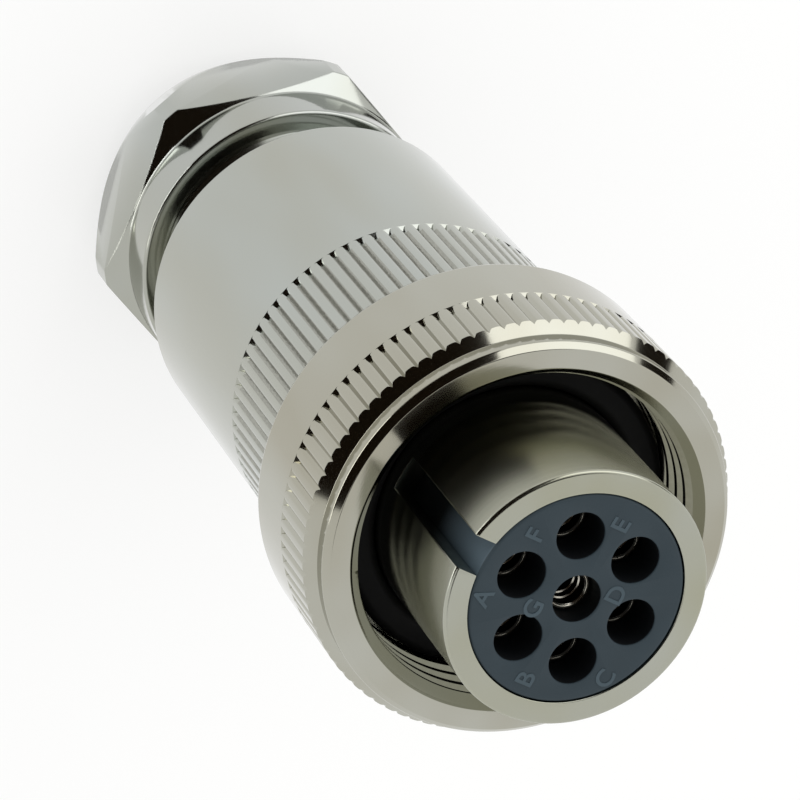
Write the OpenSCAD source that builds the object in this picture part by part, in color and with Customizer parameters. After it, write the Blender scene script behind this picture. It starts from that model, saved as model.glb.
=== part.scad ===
// Valve connector: round cable socket with a screw coupling ring, seven socket contacts
// and a screwed cable gland. The axis is Z, the mating face looks up, and the origin is the
// centre of the gland nut's rear face.

/* [Gland nut] */
// Width of the hexagon across its flats
hex_af = 21.6; // [21.4:0.1:24]
// Diameter to which the corners of the hexagon are turned
hex_od = 24.3; // [23.6:0.1:25]
// Height of the hexagon, from the rear face to the collar
hex_h = 8.5; // [6:0.1:12]
// Diameter of the flat rear face
rear_face_d = 19.7; // [18:0.1:21]
// Angle between the axis and the taper that is turned on the rear of the hexagon
hex_taper_deg = 23; // [15:1:40]
// Angle between the hexagon's front end and the chamfer there
hex_chamfer_deg = 30; // [20:1:40]
// Diameter of the collar in front of the hexagon
collar_d = 21.3; // [20.5:0.1:21.4]
// Length of the collar
collar_h = 3.5; // [2:0.1:6]
// Radius of the fillet between the collar and the hexagon
collar_fillet = 0.6; // [0.3:0.1:0.6]
// Diameter of the gland thread
gland_thread_d = 18.6; // [17.4:0.1:19.2]
// Length of gland thread inside the back shell
gland_thread_grip = 7.9; // [5:0.1:9]
// Length of gland thread in sight between the collar and the back shell
gland_gap = 4.75; // [3:0.05:6]
// Travel of one turn of the gland thread
gland_pitch = 1.41; // [1:0.01:1.5]
// Diameter of the cable bore
cable_d = 13; // [10:0.1:14]
// Chamfer at the cable bore's mouth
cable_chamfer = 0.6; // [0.2:0.1:1]
// Turn of the hexagon at rest
nut_turn = 9; // [0:1:59]

/* [Gland packing] */
// Thickness of each gland washer
gland_washer_t = 0.9; // [0.6:0.1:1.4]
// Length of the rubber gland seal
gland_seal_h = 5; // [3:0.1:7]
// Diameter of the hole in the gland seal
gland_seal_bore = 12.6; // [9:0.1:13]

/* [Back shell] */
// Diameter of the back shell
shell_d = 22.9; // [22.5:0.1:24]
// Length of the back shell
shell_len = 27.9; // [25:0.1:36]
// Length of the knurled stretch at the front of the back shell
shell_knurl_len = 10.8; // [6:0.1:16]
// Number of grooves in the back shell's knurl
shell_knurl_count = 76; // [40:1:80]
// Turn of the back shell's knurl
shell_turn = 0.7; // [0:0.1:4.6]
// Thickness of the wall between the wire space and the gland
gland_wall_t = 1.5; // [1:0.1:3]

/* [Coupling ring] */
// Diameter over the knurl
ring_d = 27; // [26.6:0.1:30]
// Length of the coupling ring
ring_len = 10.5; // [9:0.1:14]
// Length of the plain band behind the knurl
ring_band_len = 4.6; // [3:0.1:6]
// Number of grooves in the coupling ring's knurl
ring_knurl_count = 90; // [50:1:96]
// Radial width of the flat front face
ring_face_w = 1.23; // [0.8:0.01:1.5]
// Radial width of the chamfer round the front face
ring_nose_w = 0.38; // [0.2:0.01:0.5]
// Length of the plain nose between the two chamfers
ring_nose_len = 0.88; // [0.5:0.01:1.4]
// Chamfer at the mouth of the coupling thread
ring_mouth_chamfer = 0.72; // [0.4:0.02:0.8]
// Diameter of the coupling thread's crests
coupling_bore_d = 21; // [20.7:0.1:21.4]
// Length of the inner lip that holds the ring on the sleeve
ring_lip_len = 2.7; // [1.5:0.1:3.5]
// Clearance between the ring and the sleeve that it turns on
ring_clearance = 0.08; // [0.04:0.01:0.1]
// End play of the ring between the sleeve's flange and the back shell
ring_end_play = 0.4; // [0.2:0.05:0.6]
// Turn of the coupling ring at rest
ring_turn = 1.2; // [0:0.1:3.9]

/* [Knurls] */
// Width of a knurl groove at the surface
groove_w = 0.42; // [0.3:0.01:0.6]
// Depth of a knurl groove
groove_depth = 0.18; // [0.16:0.01:0.4]

/* [Contact sleeve] */
// Outside diameter of the sleeve that enters the mating connector
sleeve_d = 16.3; // [15.6:0.1:16.6]
// Wall of the sleeve
sleeve_wall = 1.43; // [1.2:0.01:1.6]
// Length of the sleeve in front of its flange
sleeve_nose_len = 12.8; // [11.2:0.1:16]
// Thickness of the flange
flange_t = 2; // [1:0.1:3]
// Diameter of the journal that the coupling ring turns on
journal_d = 18; // [17.7:0.1:18.4]
// Diameter of the thread that the back shell screws onto
shell_thread_d = 17; // [16.6:0.1:17]
// Length of that thread
shell_thread_len = 4.8; // [4.4:0.1:6]
// Width of the keyway
key_w = 2.15; // [1.5:0.05:3]
// Length of the keyway
key_len = 10.5; // [6:0.1:11]
// Chamfer round the front edge of the sleeve
sleeve_chamfer = 0.2; // [0.1:0.05:0.4]

/* [Face seal] */
// Thickness of the face seal in the coupling ring
face_seal_t = 1.4; // [1:0.1:2]

/* [Insert and contacts] */
// Diameter of the circle of contacts
contact_circle_d = 8.1; // [7.8:0.1:8.4]
// Diameter of a contact's cavity at the mating face
cavity_d = 2.98; // [2.9:0.01:3.1]
// Depth of that wide part of the cavity
cavity_depth = 4; // [3:0.1:6]
// Outside diameter of a socket contact
contact_d = 2.76; // [2.5:0.01:2.8]
// Diameter of the pin that a socket takes
pin_d = 1.6; // [1.2:0.05:1.7]
// Depth of the socket's bore
socket_depth = 8; // [6:0.1:12]
// Depth of the outer contacts' rims behind the mating face
contact_recess = 2.7; // [1.8:0.1:3.6]
// Depth of the centre contact's rim behind the mating face
centre_recess = 1.5; // [0.8:0.1:3]
// Diameter of the collar that holds a contact
contact_collar_d = 3.4; // [3.2:0.05:3.5]
// Length of that collar
contact_collar_len = 2.5; // [1.5:0.1:3]
// Diameter of a contact's solder tail
tail_d = 2.4; // [2.1:0.05:2.4]
// Length of a solder tail behind the retainer
tail_len = 4; // [2:0.1:4.5]
// Wall of the solder cup
cup_wall = 0.4; // [0.3:0.05:0.6]
// Depth of the solder cup
cup_depth = 3; // [1.5:0.1:4]
// Length of the solder cup's open side
cup_open_len = 2.4; // [1:0.1:3]
// Length of the insert's flange
insert_flange_len = 3.5; // [3.2:0.1:4]
// Radial step of the insert's flange
insert_step = 0.4; // [0.3:0.01:0.5]
// Thickness of the plate that holds the contacts in
retainer_t = 1.2; // [0.8:0.1:1.4]
// Thickness of the spring ring that holds the plate
spring_ring_t = 0.8; // [0.5:0.1:1]
// Radial width of the spring ring
spring_ring_w = 1.5; // [1:0.1:1.6]
// Gap between the spring ring's ends
spring_ring_gap_deg = 40; // [20:1:70]
// Depth of the spring ring's groove
spring_groove = 0.4; // [0.2:0.05:0.5]

/* [Seal rings] */
// Thickness of the seal ring round the insert
insert_seal_t = 0.66; // [0.4:0.02:0.8]
// Thickness of the seal ring between the sleeve and the back shell
shell_seal_t = 0.7; // [0.5:0.02:0.8]

/* [Fits] */
// Radial clearance of pieces that are set in once
set_clearance = 0.05; // [0.03:0.01:0.08]
// Radial clearance of the gland thread
thread_clearance = 0.08; // [0.04:0.01:0.1]
// Clearance of loose pieces
loose_clearance = 0.3; // [0.2:0.05:0.4]
// Gap between faces that turn on each other
slip_gap = 0.05; // [0.02:0.01:0.1]

/* [Hidden] */
$fn = 96;
OUTER_CONTACTS = 6;
FILLET_STEPS = 6;
LEAST_WALL = 0.3;
RIM_SHARE = 0.8;
EDGE = 0.3;
OVER = 1;
NICKEL = "#b4b3a8";
INSERT_GREY = "#3d4650";
RUBBER = "#141414";
CONTACT_PLATE = "#c9c5b4";

// Places along the axis, from the gland nut's rear face
hex_front_z = hex_h - (hex_od - collar_d) / 2 * tan(hex_chamfer_deg);
collar_z = hex_h + collar_h;
shell_z = collar_z + gland_gap;
nut_tip_z = shell_z + gland_thread_grip;
thrust_z = nut_tip_z + slip_gap;
gland_seal_z = thrust_z + gland_washer_t + gland_pitch + slip_gap;
seat_washer_z = gland_seal_z + gland_seal_h;
gland_floor_z = seat_washer_z + gland_washer_t;
wire_space_z = gland_floor_z + gland_wall_t;
shell_front_z = shell_z + shell_len;
ring_z = shell_front_z + ring_end_play;
lip_front_z = ring_z + ring_lip_len;
flange_z = lip_front_z + ring_end_play;
flange_front_z = flange_z + flange_t;
face_z = flange_front_z + sleeve_nose_len;
ring_front_z = ring_z + ring_len;
groove_start_z = ring_z + ring_band_len;
sleeve_rear_z = shell_front_z - shell_thread_len;
shell_knurl_z = shell_front_z - shell_knurl_len;

// Contact stack in the sleeve, from its rear end forwards
spring_ring_z = sleeve_rear_z + spring_ring_t;
retainer_z = spring_ring_z + spring_ring_t;
insert_z = retainer_z + retainer_t;
insert_step_z = insert_z + insert_flange_len;
contact_seat_z = insert_z + contact_collar_len;
tail_z = retainer_z - tail_len;

// Radii
cable_r = cable_d / 2;
gland_r = gland_thread_d / 2;
gland_bore_r = gland_r + thread_clearance;
packing_r = gland_bore_r - loose_clearance;
shell_r = shell_d / 2;
thread_r = shell_thread_d / 2;
wire_r = thread_r + set_clearance;
ring_r = ring_d / 2;
sleeve_r = sleeve_d / 2;
sleeve_bore_r = sleeve_r - sleeve_wall;
insert_r = sleeve_bore_r - set_clearance;
flange_r = coupling_bore_d / 2 - loose_clearance;
journal_r = journal_d / 2;
seat_bore_r = sleeve_bore_r + insert_step;
insert_flange_r = seat_bore_r - set_clearance;
bore_r = coupling_bore_d / 2;
rim_share = min(1, RIM_SHARE * (ring_r - bore_r) / (ring_mouth_chamfer + ring_face_w + ring_nose_w));
mouth_chamfer = rim_share * ring_mouth_chamfer;
nose_chamfer = rim_share * ring_nose_w;
nose_r = bore_r + mouth_chamfer + rim_share * ring_face_w + nose_chamfer;
shell_groove_r = max(wire_r - shell_seal_t, seat_bore_r + LEAST_WALL);
contact_r = contact_d / 2;
collar_r = contact_collar_d / 2;
tail_r = tail_d / 2;
contacts_r = contact_circle_d / 2 + collar_r + set_clearance;
tails_r = contact_circle_d / 2 + tail_r;
insert_groove_r = max(seat_bore_r - insert_seal_t, contacts_r + LEAST_WALL);

// Angle and place of contact number i, from the keyway, anticlockwise as the mating face is seen
function contact_angle(i) = 360 / OUTER_CONTACTS * i - 90;
function contact_place(i) = contact_circle_d / 2 * [cos(contact_angle(i)), sin(contact_angle(i))];

// Round ring from radius r1 to r2 and height z1 to z2, with small chamfers of size c
module ring_solid(r1, r2, z1, z2, c = 0) {
    rotate_extrude()
        polygon([[r1 + c, z1], [r2 - c, z1], [r2, z1 + c], [r2, z2 - c], [r2 - c, z2],
            [r1 + c, z2], [r1, z2 - c], [r1, z1 + c]]);
}

// Rubber ring of round section
module seal_ring(r1, t, z) {
    translate([0, 0, z])
        rotate_extrude()
            translate([r1 + t / 2, 0])
                circle(d = t, $fn = 32);
}

// Grooves of a straight knurl on radius r, from z1 to z2, the first at angle turn
module knurl_grooves(r, count, turn, z1, z2) {
    slope = groove_w / 2 / groove_depth;
    for (i = [0 : count - 1])
        rotate(turn + i * 360 / count)
            translate([r, 0, z1])
                linear_extrude(z2 - z1)
                    polygon([[-groove_depth, 0], [EDGE, -groove_w / 2 - EDGE * slope],
                        [EDGE, groove_w / 2 + EDGE * slope]]);
}

// Points of the fillet between the hexagon's front chamfer and the collar, from the hexagon up
function collar_fillet_points() =
    let (
        reach = collar_fillet / tan((90 + hex_chamfer_deg) / 2),
        turn = 90 - hex_chamfer_deg
    )
    [for (i = [0 : FILLET_STEPS])
        [collar_d / 2 + collar_fillet, hex_h + reach]
            - collar_fillet * [cos(turn * (1 - i / FILLET_STEPS)), sin(turn * (1 - i / FILLET_STEPS))]];

// Outline of the nut as it is turned, before the flats and the rear taper are cut
module nut_outline() {
    polygon(concat([[0, 0], [hex_od / 2, 0], [hex_od / 2, hex_front_z]], collar_fillet_points(),
        [[collar_d / 2, collar_z], [gland_r, collar_z], [gland_r, nut_tip_z - EDGE],
            [gland_r - EDGE, nut_tip_z], [0, nut_tip_z]]));
}

module gland_nut() {
    rear_r = rear_face_d / 2;
    color(NICKEL)
        difference() {
            intersection() {
                rotate_extrude()
                    nut_outline();
                rotate(nut_turn)
                    cylinder(d = hex_af / cos(30), h = nut_tip_z, $fn = 6);
                cylinder(r1 = rear_r, r2 = rear_r + nut_tip_z * tan(hex_taper_deg), h = nut_tip_z);
            }
            translate([0, 0, -OVER])
                cylinder(r = cable_r, h = nut_tip_z + 2 * OVER);
            translate([0, 0, -OVER])
                cylinder(r1 = cable_r + cable_chamfer + OVER, r2 = cable_r - OVER,
                    h = cable_chamfer + 2 * OVER);
        }
}

module thrust_washer() {
    color(NICKEL)
        ring_solid(cable_r + loose_clearance, packing_r, thrust_z, thrust_z + gland_washer_t);
}

module gland_seal() {
    color(RUBBER)
        ring_solid(gland_seal_bore / 2, packing_r, gland_seal_z, seat_washer_z, EDGE);
}

module seat_washer() {
    color(NICKEL)
        ring_solid(cable_r + loose_clearance, packing_r, seat_washer_z, gland_floor_z);
}

module back_shell() {
    color(NICKEL)
        difference() {
            ring_solid(0, shell_r, shell_z, shell_front_z, EDGE / 2);
            translate([0, 0, shell_z - OVER])
                cylinder(r = gland_bore_r, h = gland_floor_z - shell_z + OVER);
            translate([0, 0, gland_floor_z - OVER])
                cylinder(r = cable_r + loose_clearance, h = gland_wall_t + 2 * OVER);
            translate([0, 0, wire_space_z])
                cylinder(r = wire_r, h = shell_front_z - wire_space_z + OVER);
            knurl_grooves(shell_r, shell_knurl_count, shell_turn, shell_knurl_z, shell_front_z + OVER);
        }
}

module shell_seal() {
    color(RUBBER)
        seal_ring(shell_groove_r, wire_r - shell_groove_r, shell_front_z - shell_seal_t);
}

module coupling_ring() {
    nose_z = ring_front_z - nose_chamfer - ring_nose_len;
    lip_r = journal_r + ring_clearance;
    color(NICKEL)
        difference() {
            rotate_extrude()
                polygon([[lip_r, ring_z], [ring_r - EDGE, ring_z], [ring_r, ring_z + EDGE],
                    [ring_r, nose_z - (ring_r - nose_r)], [nose_r, nose_z],
                    [nose_r, ring_front_z - nose_chamfer], [nose_r - nose_chamfer, ring_front_z],
                    [bore_r + mouth_chamfer, ring_front_z], [bore_r, ring_front_z - mouth_chamfer],
                    [bore_r, lip_front_z], [lip_r, lip_front_z]]);
            knurl_grooves(ring_r, ring_knurl_count, ring_turn, groove_start_z, ring_front_z);
        }
}

module face_seal() {
    color(RUBBER)
        ring_solid(sleeve_r + set_clearance, flange_r, flange_front_z,
            flange_front_z + face_seal_t, EDGE);
}

// Groove that the shell seal lies in
module shell_seal_groove() {
    ring_solid(shell_groove_r, wire_r + OVER, shell_front_z - 2 * shell_seal_t, shell_front_z);
}

module contact_sleeve() {
    color(NICKEL)
        difference() {
            rotate_extrude()
                polygon([[sleeve_bore_r, insert_step_z], [seat_bore_r, insert_step_z],
                    [seat_bore_r, sleeve_rear_z], [thread_r - EDGE, sleeve_rear_z],
                    [thread_r, sleeve_rear_z + EDGE], [thread_r, shell_front_z],
                    [journal_r, shell_front_z], [journal_r, flange_z], [flange_r, flange_z],
                    [flange_r, flange_front_z], [sleeve_r, flange_front_z],
                    [sleeve_r, face_z - sleeve_chamfer], [sleeve_r - sleeve_chamfer, face_z],
                    [sleeve_bore_r, face_z]]);
            shell_seal_groove();
            ring_solid(seat_bore_r - OVER, seat_bore_r + spring_groove, spring_ring_z, retainer_z);
            translate([-key_w / 2, -sleeve_r - OVER, face_z - key_len])
                cube([key_w, sleeve_r, key_len + OVER]);
        }
}

// Cavity of one contact, open at the mating face and at the back of the insert
module contact_cavity() {
    translate([0, 0, insert_z - OVER])
        cylinder(r = contact_r + set_clearance, h = face_z - insert_z + 2 * OVER);
    translate([0, 0, face_z - cavity_depth])
        cylinder(d = cavity_d, h = cavity_depth + OVER);
    translate([0, 0, insert_z - OVER])
        cylinder(r = collar_r + set_clearance, h = contact_collar_len + OVER);
}

// Places the children at every contact
module at_contacts() {
    children();
    for (i = [0 : OUTER_CONTACTS - 1])
        translate(contact_place(i))
            children();
}

module insert() {
    groove_mid_z = (insert_z + insert_step_z) / 2;
    color(INSERT_GREY)
        difference() {
            rotate_extrude()
                polygon([[0, insert_z], [insert_flange_r, insert_z], [insert_flange_r, insert_step_z],
                    [insert_r, insert_step_z], [insert_r, face_z - sleeve_chamfer],
                    [insert_r - sleeve_chamfer, face_z], [0, face_z]]);
            at_contacts()
                contact_cavity();
            ring_solid(insert_groove_r, seat_bore_r + OVER,
                groove_mid_z - insert_seal_t, groove_mid_z + insert_seal_t);
        }
}

module insert_seal() {
    color(RUBBER)
        seal_ring(insert_groove_r, seat_bore_r - insert_groove_r, (insert_z + insert_step_z) / 2);
}

module contact_retainer() {
    color(INSERT_GREY)
        difference() {
            ring_solid(0, insert_flange_r, retainer_z, insert_z);
            translate([0, 0, retainer_z - OVER])
                at_contacts()
                    cylinder(r = tail_r + set_clearance, h = retainer_t + 2 * OVER);
        }
}

module spring_ring() {
    outer_r = seat_bore_r + spring_groove - set_clearance;
    inner_r = max(outer_r - spring_ring_w, tails_r + loose_clearance);
    half_gap = spring_ring_gap_deg / 2;
    color(NICKEL)
        difference() {
            ring_solid(inner_r, outer_r, spring_ring_z, retainer_z);
            translate([0, 0, spring_ring_z - OVER])
                linear_extrude(spring_ring_t + 2 * OVER)
                    polygon([[0, 0], sleeve_d * [sin(half_gap), cos(half_gap)],
                        sleeve_d * [-sin(half_gap), cos(half_gap)]]);
        }
}

// Socket contact on the Z axis: bored socket, collar and solder cup
module socket_contact(recess) {
    rim_z = face_z - recess;
    pin_r = pin_d / 2;
    funnel = (contact_r - pin_r) * 0.45;
    color(CONTACT_PLATE)
        difference() {
            rotate_extrude()
                polygon([[0, tail_z], [tail_r, tail_z], [tail_r, insert_z], [collar_r, insert_z],
                    [collar_r, contact_seat_z], [contact_r, contact_seat_z], [contact_r, rim_z], [0, rim_z]]);
            translate([0, 0, rim_z - socket_depth])
                cylinder(r = pin_r, h = socket_depth + OVER, $fn = 48);
            rotate_extrude()
                polygon([[0, rim_z - 2 * funnel], [pin_r, rim_z - 2 * funnel],
                    [pin_r + 2 * funnel, rim_z + 2 * funnel], [0, rim_z + 2 * funnel]]);
            translate([0, 0, tail_z - OVER])
                cylinder(r = tail_r - cup_wall, h = cup_depth + OVER, $fn = 48);
            translate([0, -tail_r - OVER, tail_z - OVER])
                cube([tail_d, tail_d + 2 * OVER, cup_open_len + OVER]);
        }
}

// Outer contact number i
module outer_contact(i) {
    translate(contact_place(i))
        rotate(contact_angle(i))
            socket_contact(contact_recess);
}

module contact_a() { outer_contact(0); }
module contact_b() { outer_contact(1); }
module contact_c() { outer_contact(2); }
module contact_d() { outer_contact(3); }
module contact_e() { outer_contact(4); }
module contact_f() { outer_contact(5); }
module contact_g() { socket_contact(centre_recess); }

gland_nut();
thrust_washer();
gland_seal();
seat_washer();
back_shell();
shell_seal();
coupling_ring();
face_seal();
contact_sleeve();
insert();
insert_seal();
contact_retainer();
spring_ring();
contact_a();
contact_b();
contact_c();
contact_d();
contact_e();
contact_f();
contact_g();
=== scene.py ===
"""Valve connector: the visible pieces, their finishes, and a small studio round them.

Sizes are in millimetres in this file and in metres in Blender. The axis is Z, the mating face
looks up, and the keyway is at -Y. A corner of a profile is (radius, height, rounding).
"""

import math

import bmesh
import bpy
from mathutils import Matrix, Vector


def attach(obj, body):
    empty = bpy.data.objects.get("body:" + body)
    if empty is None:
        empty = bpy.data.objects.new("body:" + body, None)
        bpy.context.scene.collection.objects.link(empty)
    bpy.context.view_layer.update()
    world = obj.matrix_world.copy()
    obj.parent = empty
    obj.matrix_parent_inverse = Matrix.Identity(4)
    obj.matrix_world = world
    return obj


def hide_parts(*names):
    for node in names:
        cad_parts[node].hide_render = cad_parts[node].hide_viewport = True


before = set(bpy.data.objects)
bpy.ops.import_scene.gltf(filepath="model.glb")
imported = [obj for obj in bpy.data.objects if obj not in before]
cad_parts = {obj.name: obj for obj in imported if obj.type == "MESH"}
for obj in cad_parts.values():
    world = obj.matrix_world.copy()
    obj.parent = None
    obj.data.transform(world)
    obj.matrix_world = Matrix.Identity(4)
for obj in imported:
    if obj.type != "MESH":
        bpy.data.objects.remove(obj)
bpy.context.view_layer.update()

MM = 0.001
SMOOTH_ANGLE = 32                           # degrees, up to which two faces are shaded as one

# heights and radii at which pieces meet
SEAT_Z, WALL_Z = 32.06, 32.96               # rear and front of the seat washer in the shell
INSERT_REAR_Z, CONTACT_STOP_Z, INSERT_STOP_Z = 42.65, 45.15, 46.15
SHELL_FRONT_Z = 44.65
FACE_SEAL_Z = 50.15                         # the flange that the face seal lies on
FACE_Z = 62.95                              # mating face
CABLE_WAY_R, PACKING_R = 6.8, 9.08          # inside and outside of the washers in the gland
FLANGE_R = 10.2
CONTACT_CIRCLE_R = 4.05
CONTACT_ANGLES = [math.radians(60 * i - 90) for i in range(6)]  # A to F, from the keyway

# knurls
RING_GROOVES, RING_TURN = 90, 1.2           # turns in degrees
SHELL_GROOVES, SHELL_TURN = 76, 0.7
COLUMNS = 10                                # columns of points to a groove and its land
GROOVE_DEPTHS = (0.18, 0.092, 0.02, 0.005)  # at the groove's middle, and at each column beside it
GROOVE_PIT, PIT_LEN = 1.7, 0.75             # times deeper at its rear end, over this length
ROW_GAP = 0.001                             # between a groove's rear end and the plain metal
GROOVE_FLOOR = (0.03, 0.25)                 # how far below the lands a groove's floor lies

# screw threads
COUPLING_PITCH, COUPLING_TURNS, COUPLING_THREAD_Z = 1.27, 6, 49.108
GLAND_PITCH, GLAND_TURNS, GLAND_THREAD_Z = 1.41, 9, 11.19


# ---------------------------------------------------------------- tools of the bench

def choose(piece):
    """Selects one object alone and makes it the active one."""
    bpy.ops.object.select_all(action="DESELECT")
    piece.select_set(True)
    bpy.context.view_layer.objects.active = piece


def pick(piece, test):
    """In edit mode, selects the points for which test(radius, height, angle) holds."""
    bpy.ops.mesh.select_all(action="DESELECT")
    mesh = bmesh.from_edit_mesh(piece.data)
    for point in mesh.verts:
        x, y, z = point.co / MM
        point.select_set(test(math.hypot(x, y), z, math.degrees(math.atan2(y, x))))
    mesh.select_flush(True)
    bmesh.update_edit_mesh(piece.data)


def around(angle, distance):
    """The place at an angle, in radians, and a distance from the axis."""
    return distance * math.cos(angle), distance * math.sin(angle)


def rounded(corners, steps=3, hold=0.04):
    """Turns corners into a profile, with a holding row beside each rounding."""
    profile = []
    count = len(corners)
    for i, (r, z, rounding) in enumerate(corners):
        here = Vector((r, z))
        if not rounding:
            profile.append((r, z))
            continue
        back = (Vector(corners[i - 1][:2]) - here).normalized()
        ahead = (Vector(corners[(i + 1) % count][:2]) - here).normalized()
        half = back.angle(ahead) / 2
        reach = rounding / math.tan(half)
        middle = here + (back + ahead).normalized() * (rounding / math.sin(half))
        start, end = here + back * reach - middle, here + ahead * reach - middle
        profile.append(tuple(here + back * (reach + hold)))
        for step in range(steps + 1):
            share = step / steps
            spoke = (start * (1 - share) + end * share).normalized() * rounding
            profile.append(tuple(middle + spoke))
        profile.append(tuple(here + ahead * (reach + hold)))
    return profile


def turned(name, profile, columns=192, turn=0.0, ring=True):
    """A turned piece in edit mode: a circle drawn along a profile, closed on itself if a ring."""
    bpy.ops.object.select_all(action="DESELECT")
    r, z = profile[0]
    bpy.ops.mesh.primitive_circle_add(vertices=columns, radius=r * MM, location=(0, 0, z * MM),
                                      rotation=(0, 0, math.radians(turn)))
    piece = bpy.context.object
    piece.name = piece.data.name = name
    bpy.ops.object.transform_apply(location=True, rotation=True, scale=True)
    bpy.ops.object.mode_set(mode="EDIT")
    bpy.ops.mesh.select_mode(type="VERT")
    bpy.ops.mesh.select_all(action="SELECT")
    for next_r, next_z in profile[1:] + profile[:1] * ring:
        bpy.ops.mesh.extrude_region_move(
            TRANSFORM_OT_translate={"value": (0, 0, (next_z - z) * MM)})
        bpy.ops.transform.resize(value=(next_r / r, next_r / r, 1),
                                 center_override=(0, 0, next_z * MM))
        r, z = next_r, next_z
    return piece


def close_up(piece, gap=0.0005):
    """Ends edit mode: joins points that lie together, fills holes and turns faces outwards."""
    bpy.ops.mesh.select_all(action="SELECT")
    bpy.ops.mesh.remove_doubles(threshold=gap * MM)
    bpy.ops.mesh.fill_holes(sides=0)
    bpy.ops.mesh.select_all(action="SELECT")
    bpy.ops.mesh.normals_make_consistent(inside=False)
    bpy.ops.object.mode_set(mode="OBJECT")
    return piece


def cut(piece, tool, operation="DIFFERENCE"):
    """Cuts a piece with a tool, which is used up."""
    choose(piece)
    knife = piece.modifiers.new("cut", "BOOLEAN")
    knife.operation, knife.solver, knife.object = operation, "EXACT", tool
    bpy.ops.object.modifier_apply(modifier=knife.name)
    bpy.data.objects.remove(tool)


def cut_block(piece, middle, size):
    """Cuts a block out of a piece."""
    bpy.ops.object.select_all(action="DESELECT")
    bpy.ops.mesh.primitive_cube_add(size=1, location=[c * MM for c in middle])
    block = bpy.context.object
    block.scale = [c * MM for c in size]
    bpy.ops.object.transform_apply(location=True, rotation=True, scale=True)
    cut(piece, block)


def soften(piece, width, angle=35):
    """Breaks the sharp edges of a cut piece."""
    choose(piece)
    edge = piece.modifiers.new("broken edges", "BEVEL")
    edge.width, edge.segments, edge.limit_method = width * MM, 2, "ANGLE"
    edge.angle_limit = math.radians(angle)
    bpy.ops.object.modifier_apply(modifier=edge.name)


def thread(name, root_r, crest_r, root_w, crest_w, pitch, bottom, turns):
    """A screw thread's rib, wound once round per pitch and closed at both ends."""
    bpy.ops.object.select_all(action="DESELECT")
    bpy.ops.mesh.primitive_plane_add(
        size=1, location=((root_r + crest_r) / 2 * MM, 0, bottom * MM),
        rotation=(math.radians(90), 0, 0))
    ridge = bpy.context.object
    ridge.name = ridge.data.name = name
    ridge.scale = (abs(root_r - crest_r) * MM, root_w * MM, 1)
    bpy.ops.object.transform_apply(location=True, rotation=True, scale=True)
    bpy.ops.object.mode_set(mode="EDIT")
    bpy.ops.mesh.select_mode(type="VERT")
    pick(ridge, lambda r, z, a: abs(r - crest_r) < 0.01)
    bpy.ops.transform.resize(value=(1, 1, crest_w / root_w),
                             center_override=(crest_r * MM, 0, bottom * MM))
    bpy.ops.mesh.select_all(action="SELECT")
    bpy.ops.mesh.delete(type="ONLY_FACE")
    bpy.ops.object.mode_set(mode="OBJECT")
    winding = ridge.modifiers.new("winding", "SCREW")
    winding.axis, winding.angle, winding.screw_offset = "Z", 2 * math.pi, pitch * MM
    winding.iterations = turns
    winding.steps = winding.render_steps = 96
    bpy.ops.object.modifier_apply(modifier=winding.name)
    bpy.ops.object.mode_set(mode="EDIT")
    return close_up(ridge)


def knurl_corners(radius, rear, front):
    """The corners of a profile that knurl() presses into grooves."""
    return [(radius, rear - ROW_GAP, 0), (radius, rear, 0), (radius, rear + PIT_LEN, 0),
            (radius, front, 0)]


def from_groove(angle, turn, pitch):
    """Degrees from the middle of the nearest groove."""
    return abs((angle - turn + pitch / 2) % pitch - pitch / 2)


def knurl(piece, grooves, turn, radius, rear, front):
    """In edit mode, presses the columns of points to grooves with crowned lands between.

    A groove starts at a sloping wall, is deepest there, and runs out through the chamfer in front.
    """
    pitch = 360 / grooves
    near = pitch / COLUMNS / 3
    at_rear, at_front = ROW_GAP / 2, 0.005      # how near a row of points is to the height it is at
    for step, depth in enumerate(GROOVE_DEPTHS):
        column = step * pitch / COLUMNS
        pit = depth * GROOVE_PIT
        # each row: its lowest and highest height, how far it is pressed in and pushed forward
        for low, high, press, push in ((rear - at_rear, rear + at_rear, pit, pit),
                                       (rear + at_rear, front - at_front, depth, 0),
                                       (front - at_front, front + at_front, depth, depth)):
            pick(piece, lambda r, z, a: abs(from_groove(a, turn, pitch) - column) < near
                 and abs(r - radius) < 0.002 and low < z < high)
            share = 1 - press / radius
            bpy.ops.transform.resize(value=(share, share, 1), center_override=(0, 0, 0))
            bpy.ops.transform.translate(value=(0, 0, push * MM))


def roughen(piece, radius, rear, front, material):
    """Gives the floors of a knurl's grooves the finish that the rolling tool left."""
    piece.data.materials.append(material)
    for face in piece.data.polygons:
        place = face.center / MM
        below = radius - place.xy.length
        if GROOVE_FLOOR[0] < below < GROOVE_FLOOR[1] and rear < place.z < front:
            face.material_index = 1


def hand_over(piece, body, slot, material, *nodes):
    """Smooths a finished piece, gives it its finish and fixes it to its body."""
    choose(piece)
    bpy.ops.object.shade_smooth_by_angle(angle=math.radians(SMOOTH_ANGLE))
    piece.data.materials.clear()
    piece.data.materials.append(material)
    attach(piece, body)
    if nodes:
        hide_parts(*nodes)


# ---------------------------------------------------------------- tools of the paint shop

def linear(colour):
    """sRGB hex to linear RGBA."""
    parts = [int(colour[i:i + 2], 16) / 255 for i in (1, 3, 5)]
    return [p / 12.92 if p <= 0.04045 else ((p + 0.055) / 1.055) ** 2.4 for p in parts] + [1.0]


def wire(tree, made, inputs):
    """Links or sets the inputs of a node."""
    for key, value in inputs.items():
        if isinstance(value, bpy.types.NodeSocket):
            tree.links.new(value, made.inputs[key])
        else:
            made.inputs[key].default_value = value


def node(tree, kind, settings, inputs):
    """Adds a node with its settings and inputs."""
    made = tree.nodes.new("ShaderNode" + kind)
    for key, value in settings.items():
        setattr(made, key, value)
    wire(tree, made, inputs)
    return made


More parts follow.
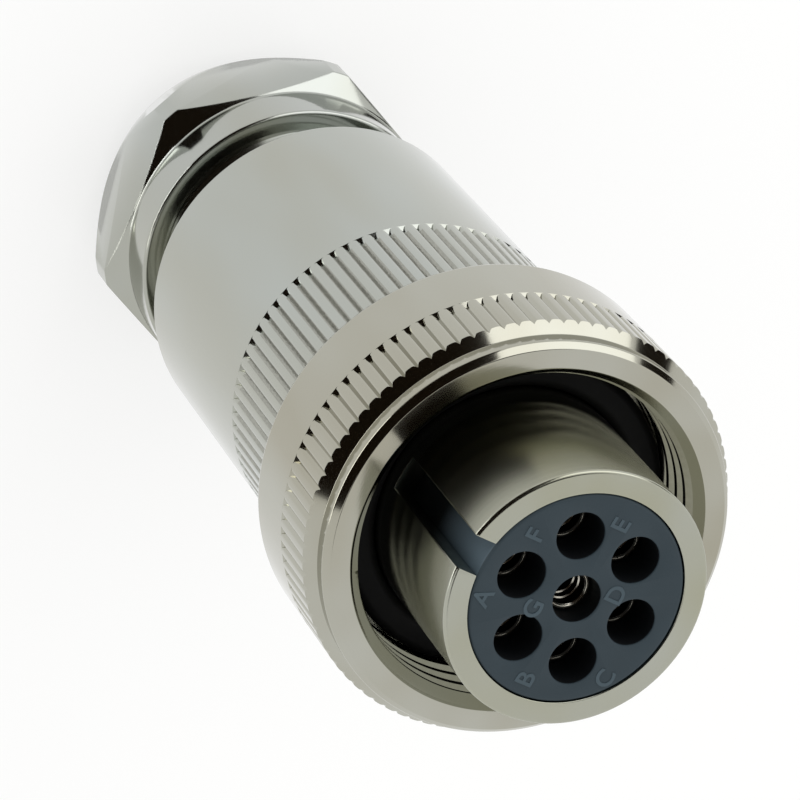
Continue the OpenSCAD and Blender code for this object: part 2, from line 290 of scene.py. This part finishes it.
def finish(name):
    """A new material, its tree and its shader."""
    material = bpy.data.materials.new(name)
    material.use_nodes = True
    return material, material.node_tree, material.node_tree.nodes["Principled BSDF"]


def on_object(tree):
    """The object's own coordinates."""
    return node(tree, "TexCoord", {}, {}).outputs["Object"]


def drawn_out(tree, place, stretch):
    """Coordinates in which a pattern is drawn out along the axis."""
    return node(tree, "Mapping", {}, {"Vector": place, "Scale": (1, 1, stretch)}).outputs["Vector"]


def noise(tree, size, detail, **source):
    """Noise in patches of a size in mm, in space by Vector or along one line by W."""
    settings = {"noise_dimensions": "1D"} if "W" in source else {}
    inputs = {**source, "Scale": 1 / (size * MM), "Detail": detail}
    return node(tree, "TexNoise", settings, inputs).outputs["Fac"]


def mapped(tree, value, from_min, from_max, to_min=0.0, to_max=1.0):
    """A value brought from one range to another, and held within it."""
    return node(tree, "MapRange", {}, {"Value": value, "From Min": from_min, "From Max": from_max,
                                       "To Min": to_min, "To Max": to_max}).outputs["Result"]


def blend(tree, share, first, second):
    """A colour between two."""
    mix = node(tree, "Mix", {"data_type": "RGBA"}, {"Factor": share, 6: first, 7: second})
    return mix.outputs[2]


def relief(tree, height, strength, depth, **normal):
    """Fine relief of a depth in mm, too small to be modelled."""
    inputs = {"Height": height, "Strength": strength, "Distance": depth * MM, **normal}
    return node(tree, "Bump", {}, inputs).outputs["Normal"]


# ---------------------------------------------------------------- finishes

def bright_nickel(name, light, dark, gloss_low, gloss_high, edge_r=0.0):
    """Bright nickel on turned brass: a warm mirror, drawn out a little along the turning marks.

    Its colour clouds from light to dark, partly the plating's own clouding and partly painted
    reflection of warm and cool surroundings, and its gloss from gloss_low to gloss_high. Where the
    piece was polished after its flats were cut, edges look rounded by edge_r mm.
    """
    material, tree, shader = finish(name)
    place = on_object(tree)
    split = node(tree, "SeparateXYZ", {}, {"Vector": place})
    flat = node(tree, "CombineXYZ", {}, {"X": split.outputs["X"], "Y": split.outputs["Y"]})
    radius = node(tree, "VectorMath", {"operation": "LENGTH"}, {0: flat.outputs["Vector"]})
    along = node(tree, "Math", {"operation": "ADD"},
                 {0: radius.outputs["Value"], 1: split.outputs["Z"]})
    # turning marks are about 0.05 mm apart; drawn at 0.3 mm so that they show
    marks = noise(tree, 0.3, 2.0, W=along.outputs["Value"])
    # clouding of the plating and painted reflection of warm and cool surroundings, patches of
    # about 9 mm drawn out along the axis
    cloud = noise(tree, 9, 2.0, Vector=drawn_out(tree, place, 0.3))
    normal = {}
    if edge_r:
        edge = node(tree, "Bevel", {"samples": 8}, {"Radius": edge_r * MM})
        normal["Normal"] = edge.outputs["Normal"]
    wire(tree, shader, {
        "Base Color": blend(tree, mapped(tree, cloud, 0.35, 0.65), linear(light), linear(dark)),
        "Roughness": mapped(tree, cloud, 0.3, 0.7, gloss_low, gloss_high),
        "Normal": relief(tree, marks, 0.03, 0.02, **normal),
        "Metallic": 1.0})
    return material


def rolled_nickel():
    """Nickel in the grooves that a knurling tool rolled: torn and grainy, so it shines dully."""
    material, tree, shader = finish("nickel_in_rolled_grooves")
    # torn specks of about 0.12 mm, drawn out along the groove
    specks = noise(tree, 0.12, 3.0, Vector=drawn_out(tree, on_object(tree), 0.4))
    wire(tree, shader, {
        "Base Color": blend(tree, specks, linear("#85867f"), linear("#aeaea4")),
        "Roughness": 0.25,
        "Normal": relief(tree, specks, 0.5, 0.05),
        "Metallic": 1.0})
    return material


def silver_plate(name, light, dark, rough):
    """Silver plate on turned copper alloy: pale and soft, with rings of the turning tool.

    Given dark colours, it is painted shade: dark and dull.
    """
    material, tree, shader = finish(name)
    split = node(tree, "SeparateXYZ", {}, {"Vector": on_object(tree)})
    # rings left by the tool, 0.15 mm apart
    rings = noise(tree, 0.15, 1.0, W=split.outputs["Z"])
    wire(tree, shader, {
        "Base Color": blend(tree, rings, linear(light), linear(dark)),
        "Roughness": rough,
        "Normal": relief(tree, rings, 0.3, 0.02),
        "Metallic": 1.0})
    return material


def moulded_insert(name, colour, rough, dark_z=None, light_z=None):
    """Glass-filled moulding compound: slate, matt, with a fine grain and faint flow clouds.

    With heights given, painted shade darkens it from its own colour at light_z to near black at
    dark_z.
    """
    material, tree, shader = finish(name)
    place = on_object(tree)
    flow = noise(tree, 2.5, 4.0, Vector=place)
    dark = [c * 0.88 for c in linear(colour)[:3]] + [1.0]
    light = [c * 1.12 for c in linear(colour)[:3]] + [1.0]
    tone = blend(tree, flow, dark, light)
    if light_z:
        # painted shade deepens the colour towards the end of the keyway
        height = node(tree, "SeparateXYZ", {}, {"Vector": place}).outputs["Z"]
        unshaded = mapped(tree, height, dark_z * MM, light_z * MM, 0.04, 1.0)
        tone = blend(tree, unshaded, linear("#020303"), tone)
    # grain of the mould's spark-eroded face, 0.12 mm
    grain = noise(tree, 0.12, 2.0, Vector=place)
    wire(tree, shader, {
        "Base Color": tone,
        "Roughness": rough,
        "Specular IOR Level": 0.2,
        "Normal": relief(tree, grain, 0.25, 0.03)})
    return material


def nitrile_rubber():
    """Moulded nitrile rubber: near black, with a soft broad shine and a slight bloom."""
    material, tree, shader = finish("moulded_nitrile_rubber")
    place = on_object(tree)
    # bloom in patches of 1.2 mm, and a skin with a grain of 0.1 mm
    bloom = noise(tree, 1.2, 5.0, Vector=place)
    skin = noise(tree, 0.1, 2.0, Vector=place)
    wire(tree, shader, {
        "Base Color": blend(tree, bloom, linear("#070707"), linear("#111111")),
        "Roughness": 0.6,
        "Specular IOR Level": 0.2,
        "Normal": relief(tree, skin, 0.2, 0.02)})
    return material


NICKEL = bright_nickel("bright_nickel_on_turned_brass", "#b0b4af", "#abaca2", 0.1, 0.17)
NICKEL_HEX = bright_nickel("bright_nickel_on_polished_hexagon", "#aeb1ac", "#a8a99f",
                           0.08, 0.14, edge_r=0.2)
# darker and warmer than the other nickel: painted shade, for the shaded floor that the ring mirrors
NICKEL_RING_SHADED = bright_nickel("bright_nickel_on_coupling_ring_with_painted_shade", "#b0b0a6", "#a4a192", 0.07, 0.12)
NICKEL_SLEEVE = bright_nickel("bright_nickel_on_contact_sleeve", "#abada4", "#a6a694", 0.16, 0.21)
NICKEL_ROLLED = rolled_nickel()
SILVER = silver_plate("silver_plate_on_turned_contact", "#d8d5cb", "#bdb8a8", 0.22)
# dark: painted shade for the deep bores of the contacts
SILVER_BORE_SHADE = silver_plate("silver_with_painted_shade_in_contact_bore", "#3a372f", "#26241f", 0.4)
SLATE = moulded_insert("moulded_slate_insert", "#313c42", 0.5)
# lighter than the face: painted highlight on the raised strokes of the letters
SLATE_LETTER_HIGHLIGHT = moulded_insert("moulded_slate_letters_painted_highlight", "#424f56", 0.5)
# lighter than the face: painted light on the keyway's wall, with painted shade towards the keyway's
# end
SLATE_WALL_LIT_AND_SHADED = moulded_insert("moulded_slate_wall_painted_light_and_shade", "#45535c", 0.5, dark_z=56.3, light_z=61.8)
# near black: painted shade on the walls of the contacts' cavities
SLATE_CAVITY_SHADE = moulded_insert("moulded_slate_cavities_painted_shade", "#0a0d10", 0.6)
RUBBER = nitrile_rubber()


# ---------------------------------------------------------------- coupling ring

RING_R, RING_NOSE_R, RING_BORE_R, RING_SEAT_R = 13.5, 12.83, 10.5, 9.08
RING_REAR_Z, RING_LIP_Z, RING_FRONT_Z = 45.05, 47.75, 55.55
RING_KNURL = (RING_R, 49.65, 53.62)         # radius, rear end and front end of the grooves

ring = turned("coupling_ring_turned", rounded([
    (RING_SEAT_R, RING_REAR_Z, 0), (RING_R, RING_REAR_Z, 0.3), *knurl_corners(*RING_KNURL),
    (RING_NOSE_R, 54.29, 0.06), (RING_NOSE_R, 55.17, 0.2),
    (12.45, RING_FRONT_Z, 0.08), (11.22, RING_FRONT_Z, 0.06),
    (RING_BORE_R, 54.83, 0.04), (RING_BORE_R, RING_LIP_Z, 0), (RING_SEAT_R, RING_LIP_Z, 0)]),
    RING_GROOVES * COLUMNS, RING_TURN)
knurl(ring, RING_GROOVES, RING_TURN, *RING_KNURL)
close_up(ring, gap=0.003)
# the thread's groove, cut by a rib: 60 degrees between its flanks, an eighth of the pitch wide
# at its bottom
cut(ring, thread("thread_groove", root_r=10.3, crest_r=11.11, root_w=1.095, crest_w=0.16,
                 pitch=COUPLING_PITCH, bottom=COUPLING_THREAD_Z, turns=COUPLING_TURNS))
hand_over(ring, "coupling", "nickel", NICKEL_RING_SHADED, "coupling_ring")

# ---------------------------------------------------------------- back shell

SHELL_R, GLAND_BORE_R, WIRE_SPACE_R = 11.45, 9.38, 8.55
SHELL_REAR_Z, WALL_FRONT_Z = 16.75, 34.46
SHELL_KNURL = (SHELL_R, 33.85, 44.45)       # radius, rear end and front end of the grooves
SHELL_ROUGH = (SHELL_R, 34.5, 44.45)        # clear of the grooves' rear ends

shell = turned("back_shell_turned", rounded([
    (GLAND_BORE_R, SHELL_REAR_Z, 0), (SHELL_R, SHELL_REAR_Z, 0.3), *knurl_corners(*SHELL_KNURL),
    (11.25, SHELL_FRONT_Z, 0), (WIRE_SPACE_R, SHELL_FRONT_Z, 0), (WIRE_SPACE_R, WALL_FRONT_Z, 0),
    (CABLE_WAY_R, WALL_FRONT_Z, 0), (CABLE_WAY_R, WALL_Z, 0), (GLAND_BORE_R, WALL_Z, 0)]),
    SHELL_GROOVES * COLUMNS, SHELL_TURN)
knurl(shell, SHELL_GROOVES, SHELL_TURN, *SHELL_KNURL)
close_up(shell, gap=0.003)
hand_over(shell, "socket", "nickel", NICKEL, "back_shell")
roughen(shell, *SHELL_ROUGH, NICKEL_ROLLED)

# ---------------------------------------------------------------- gland nut

HEX_FLATS, HEX_CORNER_R, HEX_TURN = 21.6, 12.15, 9  # across the flats, turned corners, degrees
COLLAR_R, COLLAR_FRONT_Z = 10.65, 12.0
NUT_BORE_R, NUT_STEM_R, NUT_FRONT_Z = 6.5, 8.65, 24.65

nut = close_up(turned("gland_nut_turned", rounded([
    (NUT_BORE_R, 0.6, 0), (7.1, 0, 0.1), (9.85, 0, 0.15),
    (HEX_CORNER_R, 5.418, 0.1), (HEX_CORNER_R, 7.634, 0.1),
    (COLLAR_R, 8.5, 0.3), (COLLAR_R, COLLAR_FRONT_Z, 0.2),
    (NUT_STEM_R, COLLAR_FRONT_Z, 0.2), (NUT_STEM_R, NUT_FRONT_Z, 0),
    (NUT_BORE_R, NUT_FRONT_Z, 0)], steps=6)))
bpy.ops.object.select_all(action="DESELECT")
bpy.ops.mesh.primitive_cylinder_add(
    vertices=6, radius=HEX_FLATS / 2 / math.cos(math.radians(30)) * MM, depth=60 * MM,
    rotation=(0, 0, math.radians(HEX_TURN + 30)))
cut(nut, bpy.context.object, "INTERSECT")
soften(nut, width=0.16)
hand_over(nut, "gland", "nickel", NICKEL_HEX, "gland_nut")

# the ridge starts inside the collar, which hides its square end
gland_thread = thread("gland_thread_ridge", root_r=8.6, crest_r=9.3, root_w=1.2, crest_w=0.35,
                      pitch=GLAND_PITCH, bottom=GLAND_THREAD_Z, turns=GLAND_TURNS)
hand_over(gland_thread, "gland", "nickel", NICKEL)

# ---------------------------------------------------------------- contact sleeve with its keyway

SLEEVE_R, SLEEVE_BORE_R, SLEEVE_REAR_Z = 8.15, 6.72, 39.85
INSERT_SEAT_R, SPRING_GROOVE_R = 7.12, 7.52
SHELL_THREAD_R, SEAL_GROOVE_R, SEAL_GROOVE_Z = 8.5, 7.85, 43.25
JOURNAL_R, JOURNAL_FRONT_Z = 9.0, 48.15     # where the coupling ring turns
KEYWAY_W, KEYWAY_LEN = 2.15, 10.5
KEYWAY_PAST = 1.0                           # how far the block reaches out of the mating face

sleeve = close_up(turned("contact_sleeve_turned", rounded([
    (SLEEVE_BORE_R, INSERT_STOP_Z, 0), (INSERT_SEAT_R, INSERT_STOP_Z, 0),
    (INSERT_SEAT_R, 41.45, 0), (SPRING_GROOVE_R, 41.45, 0),
    (SPRING_GROOVE_R, 40.65, 0), (INSERT_SEAT_R, 40.65, 0),
    (INSERT_SEAT_R, SLEEVE_REAR_Z, 0), (8.2, SLEEVE_REAR_Z, 0),
    (SHELL_THREAD_R, 40.15, 0), (SHELL_THREAD_R, SEAL_GROOVE_Z, 0),
    (SEAL_GROOVE_R, SEAL_GROOVE_Z, 0), (SEAL_GROOVE_R, SHELL_FRONT_Z, 0),
    (JOURNAL_R, SHELL_FRONT_Z, 0), (JOURNAL_R, JOURNAL_FRONT_Z, 0),
    (FLANGE_R, JOURNAL_FRONT_Z, 0), (FLANGE_R, FACE_SEAL_Z, 0),
    (SLEEVE_R, FACE_SEAL_Z, 0), (SLEEVE_R, FACE_Z, 0.18), (SLEEVE_BORE_R, FACE_Z, 0.05)]),
    columns=256))
cut_block(sleeve, (0, -7.5, FACE_Z - KEYWAY_LEN / 2 + KEYWAY_PAST / 2),
          (KEYWAY_W, 4, KEYWAY_LEN + KEYWAY_PAST))
soften(sleeve, width=0.05, angle=60)
hand_over(sleeve, "socket", "nickel", NICKEL_SLEEVE, "contact_sleeve")

# ---------------------------------------------------------------- insert and its letters

INSERT_R, RIM_R, RIM_GROOVE_R = 6.67, 7.07, 6.46    # the rim holds a seal ring in its groove
CAVITY_R, PASSAGE_R, TAIL_HOLE_R, CAVITY_END_Z = 1.49, 1.43, 1.75, 58.95
WELL_R = 1.6                                # round a cavity's axis, all that lies in the cavity
WALL_R = 6.5                                # outside it, the wall that shows in the keyway
BELOW_FACE_Z = FACE_Z - 0.1

insert = close_up(turned("insert_moulding", rounded([
    (TAIL_HOLE_R, INSERT_REAR_Z, 0), (RIM_R, INSERT_REAR_Z, 0), (RIM_R, 43.74, 0),
    (RIM_GROOVE_R, 43.74, 0), (RIM_GROOVE_R, 45.06, 0), (RIM_R, 45.06, 0),
    (RIM_R, INSERT_STOP_Z, 0), (INSERT_R, INSERT_STOP_Z, 0), (INSERT_R, FACE_Z, 0.2),
    (CAVITY_R, FACE_Z, 0.1), (CAVITY_R, CAVITY_END_Z, 0), (PASSAGE_R, CAVITY_END_Z, 0),
    (PASSAGE_R, CONTACT_STOP_Z, 0), (TAIL_HOLE_R, CONTACT_STOP_Z, 0)], steps=4), columns=128))
for angle in CONTACT_ANGLES:
    cavity = close_up(turned("cavity", [
        (TAIL_HOLE_R, 42.0), (TAIL_HOLE_R, CONTACT_STOP_Z), (PASSAGE_R, CONTACT_STOP_Z),
        (PASSAGE_R, CAVITY_END_Z), (CAVITY_R, CAVITY_END_Z), (CAVITY_R, BELOW_FACE_Z),
        (1.52, FACE_Z - 0.03), (1.59, FACE_Z), (1.7, 63.5)], columns=48, ring=False))
    x, y = around(angle, CONTACT_CIRCLE_R)
    cavity.location = (x * MM, y * MM, 0)
    bpy.context.view_layer.update()
    cut(insert, cavity)
hand_over(insert, "socket", "insert_plastic", SLATE, "insert")
insert.data.materials.append(SLATE_CAVITY_SHADE)
insert.data.materials.append(SLATE_WALL_LIT_AND_SHADED)
wells = [Vector((0, 0))] + [Vector(around(angle, CONTACT_CIRCLE_R)) for angle in CONTACT_ANGLES]
# faces down in a cavity get painted shade; faces on the wall in the keyway get painted light near
# the face and painted shade deeper in
for face in insert.data.polygons:
    middle = face.center / MM
    if middle.z < BELOW_FACE_Z:
        if min((middle.xy - well).length for well in wells) < WELL_R:
            face.material_index = 1
        elif middle.xy.length > WALL_R:
            face.material_index = 2

LETTER_SIZE, LETTER_HEIGHT, LETTER_SWELL = 1.62, 0.04, 0.03
# letter: angle from the keyway, clockwise as the face is seen, and distance from the axis
for letter, turn, distance in (("A", 339, 5.9), ("B", 271, 5.6), ("C", 219, 5.9), ("D", 152, 2.45),
                               ("E", 89, 5.05), ("F", 28, 5.3), ("G", 325, 2.7)):
    bpy.ops.object.select_all(action="DESELECT")
    bpy.ops.object.text_add()
    text = bpy.context.object.data
    text.body, text.size = letter, LETTER_SIZE * MM
    text.extrude, text.offset = LETTER_HEIGHT * MM, LETTER_SWELL * MM
    text.align_x, text.align_y = "CENTER", "CENTER"
    bpy.ops.object.convert(target="MESH")
    sign = bpy.context.object
    sign.name = sign.data.name = "letter_" + letter
    x, y = around(math.radians(-90 - turn), distance)
    sign.location = (x * MM, y * MM, FACE_Z * MM)
    sign.rotation_euler = (0, 0, math.pi)   # upright with the keyway above
    bpy.ops.object.transform_apply(location=True, rotation=True, scale=True)
    # the letters take the lighter slate of painted highlight
    hand_over(sign, "socket", "insert_plastic", SLATE_LETTER_HIGHLIGHT)

# ---------------------------------------------------------------- socket contacts

SOCKET_R, STOP_R, TAIL_R, PIN_R = 1.38, 1.7, 1.2, 0.8
SOCKET_FRONT_Z, TAIL_REAR_Z, CUP_END_Z = FACE_Z - 2.7, 37.45, 40.45
MOUTH_R = 1.15                              # round a contact's axis, all that lies in its bore
MIDDLE_RAISED = 1.2                         # the middle contact's socket lies nearer to the face


def shade_bore_walls(piece, place):
    """Paints shade on the walls of a contact's bore, but not on the small steps in it."""
    piece.data.materials.append(SILVER_BORE_SHADE)
    for face in piece.data.polygons:
        upright = abs(face.normal.z) < 0.3
        inside = (face.center.xy / MM - place).length < MOUTH_R
        if upright and inside and face.center.z > CONTACT_STOP_Z * MM:
            face.material_index = 1


contact = close_up(turned("contact_g_turned", rounded([
    (PIN_R, CUP_END_Z, 0), (PIN_R, TAIL_REAR_Z, 0), (TAIL_R, TAIL_REAR_Z, 0),
    (TAIL_R, INSERT_REAR_Z, 0), (STOP_R, INSERT_REAR_Z, 0), (STOP_R, CONTACT_STOP_Z, 0),
    (SOCKET_R, CONTACT_STOP_Z, 0), (SOCKET_R, SOCKET_FRONT_Z, 0.06), (1.2, SOCKET_FRONT_Z, 0.04),
    (1.1, FACE_Z - 2.8, 0), (1.08, FACE_Z - 3.5, 0), (0.99, FACE_Z - 3.54, 0),
    (0.98, FACE_Z - 4.0, 0), (0.9, FACE_Z - 4.04, 0), (PIN_R, FACE_Z - 4.4, 0),
    (PIN_R, FACE_Z - 10.7, 0)]), columns=64, ring=False))
# the solder cup is open on the side away from the axis
cut_block(contact, (1.2, 0, 38.15), (2.4, 4, 3.4))
for name, angle in zip("abcdef", CONTACT_ANGLES):
    choose(contact)
    bpy.ops.object.duplicate()
    copy = bpy.context.object
    copy.name = copy.data.name = "contact_%s_turned" % name
    place = Vector(around(angle, CONTACT_CIRCLE_R))
    copy.location = (place.x * MM, place.y * MM, 0)
    copy.rotation_euler = (0, 0, angle)
    bpy.ops.object.transform_apply(location=True, rotation=True, scale=True)
    hand_over(copy, "socket", "contact_plate", SILVER, "contact_" + name)
    shade_bore_walls(copy, place)
# the middle contact: all in front of its stop moves up
choose(contact)
bpy.ops.object.mode_set(mode="EDIT")
pick(contact, lambda r, z, a: z > 50)
bpy.ops.transform.translate(value=(0, 0, MIDDLE_RAISED * MM))
bpy.ops.object.mode_set(mode="OBJECT")
hand_over(contact, "socket", "contact_plate", SILVER, "contact_g")
shade_bore_walls(contact, Vector((0, 0)))

# ---------------------------------------------------------------- seals and washers

WASHER_THICK = 0.9


def ring_corners(inner_r, outer_r, bottom, top, rear_edge, front_edge):
    """The corners of a plain ring with rounded edges."""
    return [(inner_r, bottom, rear_edge), (outer_r, bottom, rear_edge),
            (outer_r, top, front_edge), (inner_r, top, front_edge)]


for name, *measures in (("face_seal", 8.2, FLANGE_R, FACE_SEAL_Z, 51.55, 0, 0.55),
                        ("gland_seal", 6.3, PACKING_R, 27.06, SEAT_Z, 0.4, 0.4),
                        ("shell_seal", 7.87, 8.53, 43.6, 44.3, 0.3, 0.3),
                        ("insert_seal", 6.47, 7.11, 44.07, 44.73, 0.3, 0.3)):
    profile = rounded(ring_corners(*measures), steps=5, hold=0.02)
    seal = close_up(turned(name + "_moulded", profile, columns=128))
    hand_over(seal, "socket", "seal_rubber", RUBBER, name)
for name, body, bottom in (("thrust_washer", "gland_carriage", 24.7),
                           ("seat_washer", "socket", SEAT_Z)):
    profile = rounded(ring_corners(CABLE_WAY_R, PACKING_R, bottom, bottom + WASHER_THICK, 0.1, 0.1))
    washer = close_up(turned(name + "_stamped", profile, columns=128))
    hand_over(washer, body, "nickel", NICKEL, name)
# two pieces inside keep their solids, and take the finish only
for name, material in (("contact_retainer", SLATE), ("spring_ring", NICKEL)):
    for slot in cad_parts[name].material_slots:
        slot.material = material

# ---------------------------------------------------------------- studio

CAMERA_AZIMUTH = -112.5                     # degrees; the studio's directions count from it
FLOOR_Z = -0.2                              # just below the nut
SEEN_SHARE, MIRRORED_SHARE = 0.6, 0.9       # paper's own light, to the camera and in the metal
CARD_DISTANCE = 0.45                        # distances in the studio are in metres
# each black card: azimuth from and to, elevation from and to
OVERHEAD_CARD = (-180, 180, 68, 90)
CAMERA_CARD = (-42, 56, 5, 90)
SIDE_CARD = (-114, -100, 0, 20)
LOW_CARD_AZIMUTH, LOW_CARD_ELEVATION, LOW_CARD_DISTANCE = -7, 6, 0.16
LOW_CARD_SIZE = (0.098, 0.034)


def direction(azimuth, elevation):
    """Direction from the object, its azimuth counted from the camera's."""
    a, e = math.radians(azimuth + CAMERA_AZIMUTH), math.radians(elevation)
    return Vector((math.cos(e) * math.cos(a), math.cos(e) * math.sin(a), math.sin(e)))


def facing(azimuth, elevation):
    """The turn of a card or lamp that stands in a direction and faces the object."""
    return direction(azimuth, elevation).to_track_quat("Z", "Y").to_euler()


def matt(shader, colour):
    """Gives a shader a colour and no shine at all."""
    shader.inputs["Base Color"].default_value = linear(colour)
    shader.inputs["Roughness"].default_value = 1.0
    shader.inputs["Specular IOR Level"].default_value = 0.0


scene = bpy.context.scene
scene.view_settings.view_transform = "Standard"

bpy.ops.object.select_all(action="DESELECT")
bpy.ops.mesh.primitive_plane_add(size=6, location=(0, 0, FLOOR_Z * MM))
floor = bpy.context.object
floor.name = "studio_floor"
# white paper, lit evenly where the camera or the metal sees it, and keeping a soft shadow
paper, tree, shader = finish("white_paper")
matt(shader, "#f9f9f7")
path = node(tree, "LightPath", {}, {})
mirrored = node(tree, "Math", {"operation": "ADD"},
                {0: path.outputs["Is Glossy Ray"], 1: path.outputs["Is Transmission Ray"]})
mirrored = node(tree, "Math", {"operation": "MULTIPLY"},
                {0: mirrored.outputs["Value"], 1: MIRRORED_SHARE})
seen = node(tree, "Math", {"operation": "MULTIPLY_ADD", "use_clamp": True},
            {0: path.outputs["Is Camera Ray"], 1: SEEN_SHARE, 2: mirrored.outputs["Value"]})
glow = node(tree, "Emission", {}, {"Color": (1, 1, 1, 1), "Strength": 1.0})
both = node(tree, "MixShader", {}, {0: seen.outputs["Value"], 1: shader.outputs["BSDF"],
                                    2: glow.outputs["Emission"]})
wire(tree, tree.nodes["Material Output"], {"Surface": both.outputs["Shader"]})
floor.data.materials.append(paper)

world = bpy.data.worlds.new("white_studio")
world.use_nodes = True
wire(world.node_tree, world.node_tree.nodes["Background"], {"Color": (1, 1, 1, 1), "Strength": 1.0})
scene.world = world

# black cards on a sphere, which the metal mirrors: overhead, round the camera, and low at one side
bpy.ops.object.select_all(action="DESELECT")
bpy.ops.mesh.primitive_uv_sphere_add(segments=180, ring_count=90, radius=CARD_DISTANCE)
card = bpy.context.object
card.name = "black_cards"
bpy.ops.object.mode_set(mode="EDIT")
bpy.ops.mesh.select_mode(type="FACE")
bpy.ops.mesh.select_all(action="DESELECT")
sphere = bmesh.from_edit_mesh(card.data)
for face in sphere.faces:
    x, y, z = face.calc_center_median().normalized()
    azimuth = (math.degrees(math.atan2(y, x)) - CAMERA_AZIMUTH + 180) % 360 - 180
    elevation = math.degrees(math.asin(z))
    face.select_set(not any(left < azimuth < right and low < elevation < high
                            for left, right, low, high in (OVERHEAD_CARD, CAMERA_CARD, SIDE_CARD)))
bmesh.update_edit_mesh(card.data)
bpy.ops.mesh.delete(type="FACE")
bpy.ops.object.mode_set(mode="OBJECT")
# and a small upright one near the floor, for the dark line along the nut
bpy.ops.object.select_all(action="DESELECT")
bpy.ops.mesh.primitive_plane_add(
    size=1, location=direction(LOW_CARD_AZIMUTH, LOW_CARD_ELEVATION) * LOW_CARD_DISTANCE,
    rotation=facing(LOW_CARD_AZIMUTH, 0))
low_card = bpy.context.object
low_card.name = "low_black_card"
low_card.scale = (*LOW_CARD_SIZE, 1)
velvet, tree, shader = finish("brown_black_velvet")
matt(shader, "#1e1812")
for black in (card, low_card):
    black.data.materials.append(velvet)
    black.visible_camera = black.visible_diffuse = black.visible_shadow = False

# a softbox beside the camera, and a strip near the floor for the bright line along the nut
for name, azimuth, elevation, distance, width, height, strength in (
        ("softbox", -71, 30, 0.5, 0.48, 0.32, 1.1),
        ("strip_light", 36, 7, 0.16, 0.146, 0.036, 3.25)):
    light = bpy.data.lights.new(name, "AREA")
    light.shape, light.size, light.size_y = "RECTANGLE", width, height
    light.energy = strength * math.pi * width * height
    lamp = bpy.data.objects.new(name, light)
    lamp.location = direction(azimuth, elevation) * distance
    lamp.rotation_euler = facing(azimuth, elevation)
    lamp.visible_camera = False
    scene.collection.objects.link(lamp)

# the camera, fitted to the circles and the axis in the photo: its place and the way it is turned
CAMERA_PLACE = (-0.05517, -0.13345, 0.26379)
CAMERA_AXES = ((-0.50505, 0.79405, 0.33824),    # right
               (-0.83828, -0.35804, -0.41119),  # up
               (-0.2054, -0.4912, 0.84647))     # back
lens = bpy.data.cameras.new("camera")
lens.lens, lens.sensor_width, lens.clip_start = 193.5, 36, 0.01
camera = bpy.data.objects.new("camera", lens)
camera.matrix_world = (Matrix.Translation(CAMERA_PLACE)
                       @ Matrix(CAMERA_AXES).transposed().to_4x4())
scene.collection.objects.link(camera)
scene.camera = camera
